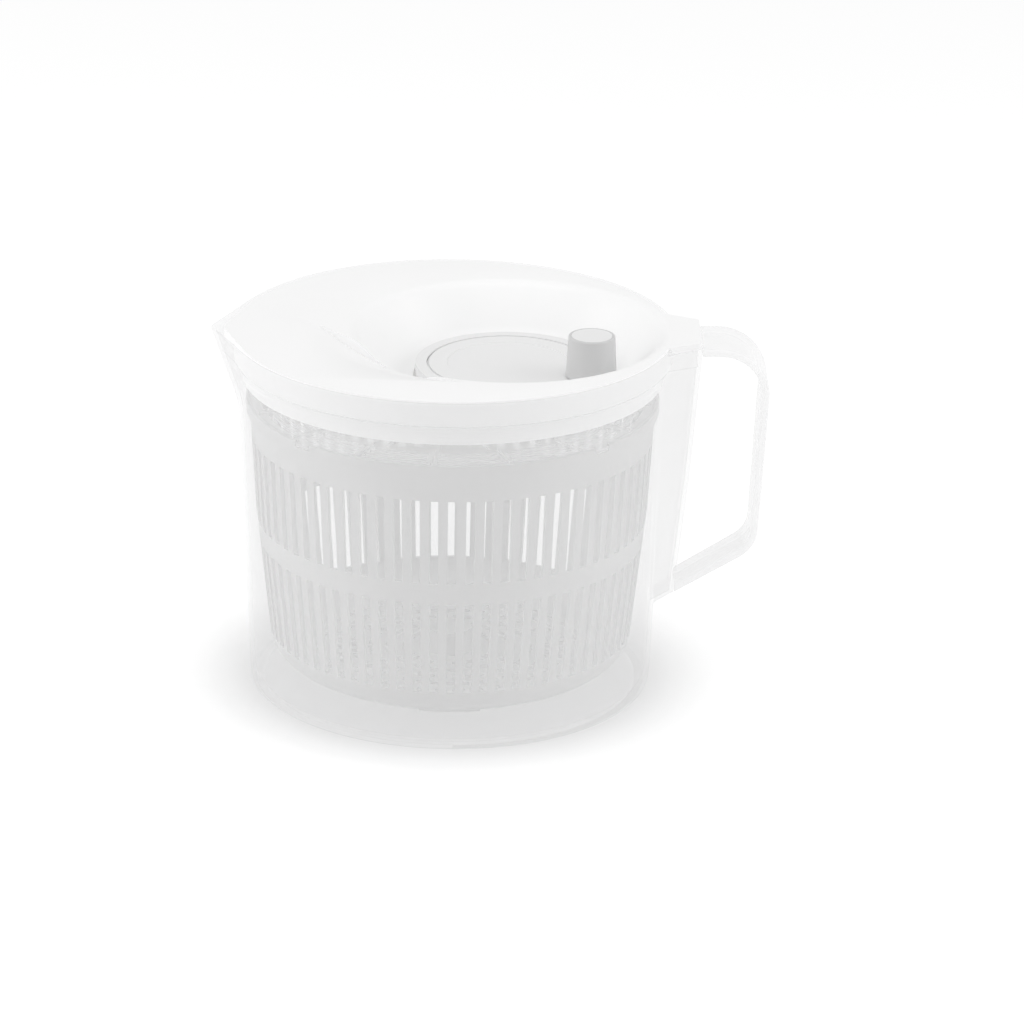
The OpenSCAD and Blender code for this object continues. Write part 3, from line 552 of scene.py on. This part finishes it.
add_jug()
add_basket()
moulded("handle", "handle_strap", 0.0011, STRAP, segments=3)
moulded("lid_top", "lid_cover", 0.0006, segments=3)
moulded("lid_base", "lid_underside", 0.0003)
moulded("basket_cover", "slotted_cover", 0.0, COVER_PAINTED_LIGHTER)
moulded("crank_plate", "crank_disc", 0.0004)
moulded("crank_insert", "crank_inlay", 0.0003)
moulded("knob", "turning_knob", 0.0004, segments=3)
moulded("knob_cap", "knob_lid", 0.0003)


# ---------------------------------------------------------------- floor, light and camera

MIDDLE = Vector((0, 0, 0.09))   # what lamps and camera are aimed at
WORLD_LIGHT = 0.68
FLOOR_GLOW = 0.475              # brings the lit floor up to white
SHADOW_REACH = 0.04             # how far from the jug the floor still darkens
SHADOW_FLOOR = 0.5              # the darkest share of the glow in it
VIEW_TILT = math.radians(20.97)
VIEW_ROLL = math.radians(0.631)
VIEW_DISTANCE = 2.4


def floor_finish():
    """Pale to the light; to the camera, in reflections and through walls white, with a contact shadow."""
    material = bpy.data.materials.new("white_sweep")
    material.use_nodes = True
    tree = material.node_tree
    shader = tree.nodes["Principled BSDF"]
    shader.inputs["Base Color"].default_value = (0.95, 0.95, 0.95, 1)
    shader.inputs["Roughness"].default_value = 1.0
    shader.inputs["Specular IOR Level"].default_value = 0.0
    seen = put(tree, "ShaderNodeBsdfDiffuse", Color=(0.60, 0.60, 0.60, 1))
    near = put(tree, "ShaderNodeAmbientOcclusion", samples=8, Distance=SHADOW_REACH)
    held = reckon(tree, "MAXIMUM", near.outputs["AO"], SHADOW_FLOOR)
    level = reckon(tree, "MULTIPLY", held, FLOOR_GLOW)
    glow = put(tree, "ShaderNodeEmission", [("Strength", level)], Color=(1, 1, 1, 1))
    both = put(tree, "ShaderNodeAddShader", [(0, seen.outputs[0]), (1, glow.outputs[0])])
    path = put(tree, "ShaderNodeLightPath")
    direct = reckon(tree, "MAXIMUM", path.outputs["Is Camera Ray"], path.outputs["Is Glossy Ray"])
    any_view = reckon(tree, "MAXIMUM", direct, path.outputs["Is Transmission Ray"])
    pick = put(tree, "ShaderNodeMixShader", [(0, any_view), (1, shader.outputs[0]), (2, both.outputs[0])])
    tree.links.new(pick.outputs[0], tree.nodes["Material Output"].inputs["Surface"])
    return material


def add_floor():
    mesh = bpy.data.meshes.new("floor")
    form = bmesh.new()
    bmesh.ops.create_grid(form, x_segments=1, y_segments=1, size=12.0)
    form.to_mesh(mesh)
    form.free()
    floor = bpy.data.objects.new("floor", mesh)
    bpy.context.scene.collection.objects.link(floor)
    mesh.materials.append(floor_finish())


def add_world():
    world = bpy.data.worlds.new("white_room")
    world.use_nodes = True
    background = world.node_tree.nodes["Background"]
    background.inputs["Color"].default_value = (1, 1, 1, 1)
    background.inputs["Strength"].default_value = WORLD_LIGHT
    bpy.context.scene.world = world


def add_soft_box(name, place, size, share):
    """A square studio lamp aimed at the jug; share is how far it alone lights a white face turned to it."""
    aim = MIDDLE - Vector(place)
    data = bpy.data.lights.new(name, "AREA")
    data.shape = "SQUARE"
    data.size = size
    data.energy = share * math.pi ** 2 * aim.length_squared
    lamp = bpy.data.objects.new(name, data)
    bpy.context.scene.collection.objects.link(lamp)
    lamp.location = place
    lamp.rotation_euler = aim.to_track_quat("-Z", "Y").to_euler()


def add_camera():
    data = bpy.data.cameras.new("camera")
    data.sensor_width = 36.0
    data.lens = 170.7
    data.shift_x = 0.0590
    data.shift_y = -0.0090
    data.clip_end = 60.0
    camera = bpy.data.objects.new("camera", data)
    bpy.context.scene.collection.objects.link(camera)
    camera.location = MIDDLE + VIEW_DISTANCE * Vector((0, -math.cos(VIEW_TILT), math.sin(VIEW_TILT)))
    look = (MIDDLE - camera.location).to_track_quat("-Z", "Y").to_matrix()
    camera.rotation_euler = (look @ Matrix.Rotation(VIEW_ROLL, 3, "Z")).to_euler()
    bpy.context.scene.camera = camera


add_floor()
add_world()
add_soft_box("soft_box_left", (-1.7, -0.22, 0.9), 1.4, 0.27)
add_soft_box("soft_box_right", (1.7, -0.22, 0.9), 1.4, 0.23)
add_soft_box("soft_box_top", (0.0, -0.4, 2.2), 1.6, 0.17)
add_camera()
bpy.context.scene.view_settings.view_transform = "Standard"
bpy.context.scene.cycles.transparent_max_bounces = 32
